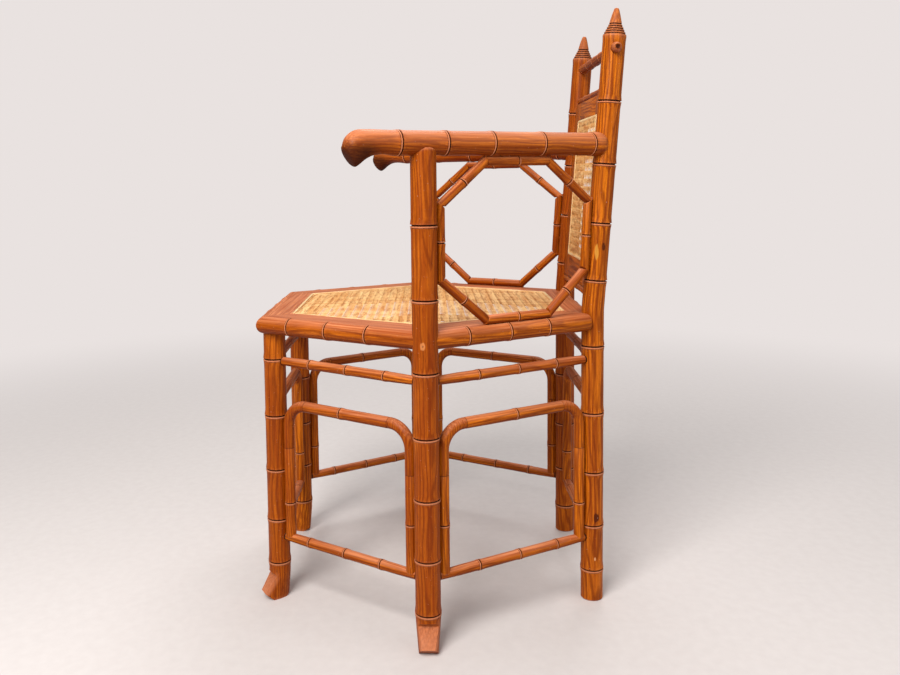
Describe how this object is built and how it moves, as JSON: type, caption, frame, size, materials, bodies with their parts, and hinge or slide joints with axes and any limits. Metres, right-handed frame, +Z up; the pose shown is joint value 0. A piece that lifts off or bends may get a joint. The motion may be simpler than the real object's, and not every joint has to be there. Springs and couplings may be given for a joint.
{
  "type": "corner chair",
  "caption": "Corner chair with a six-sided caned seat on legs turned like bamboo, ringed arms, octagon frets, arches below and a narrow caned back.",
  "frame": {"origin": "on the floor under the middle of the chair's bounding box", "axes": "+Z up, the chair faces -Y, +X is the sitter's left"},
  "size_m": [0.7014, 0.5734, 0.914],
  "materials": {
    "wood": "orange-brown stained hardwood under a worn satin varnish",
    "cane": "woven natural cane in the six-way pattern, varnished straw gold",
    "reed": "split reed spline, varnished"
  },
  "bodies": {
    "root": {"arch_back": "wood", "arch_back_left": "wood", "arch_back_right": "wood", "arch_front": "wood", "arch_front_left": "wood", "arch_front_right": "wood", "arm_left": "wood", "arm_right": "wood", "back_cane": "cane", "back_spline": "reed", "crest_rail": "wood", "dowels": "wood", "fret_left_back": "wood", "fret_left_bottom": "wood", "fret_left_front": "wood", "fret_left_lower_back": "wood", "fret_left_lower_front": "wood", "fret_left_top": "wood", "fret_left_upper_back": "wood", "fret_left_upper_front": "wood", "fret_right_back": "wood", "fret_right_bottom": "wood", "fret_right_front": "wood", "fret_right_lower_back": "wood", "fret_right_lower_front": "wood", "fret_right_top": "wood", "fret_right_upper_back": "wood", "fret_right_upper_front": "wood", "leg_front_left": "wood", "leg_front_right": "wood", "leg_mid_left": "wood", "leg_mid_right": "wood", "panel_foot_rail": "wood", "panel_head_rail": "wood", "panel_rail_bottom": "wood", "panel_rail_top": "wood", "panel_stile_left": "wood", "panel_stile_right": "wood", "post_back_left": "wood", "post_back_right": "wood", "seat_cane": "cane", "seat_rail_back": "wood", "seat_rail_back_left": "wood", "seat_rail_back_right": "wood", "seat_rail_front": "wood", "seat_rail_front_left": "wood", "seat_rail_front_right": "wood", "seat_spline": "reed", "stretcher_lower_back": "wood", "stretcher_lower_back_left": "wood", "stretcher_lower_back_right": "wood", "stretcher_lower_front": "wood", "stretcher_lower_front_left": "wood", "stretcher_lower_front_right": "wood", "stretcher_upper_back": "wood", "stretcher_upper_back_left": "wood", "stretcher_upper_back_right": "wood", "stretcher_upper_front": "wood", "stretcher_upper_front_left": "wood", "stretcher_upper_front_right": "wood"}
  },
  "joints": []
}
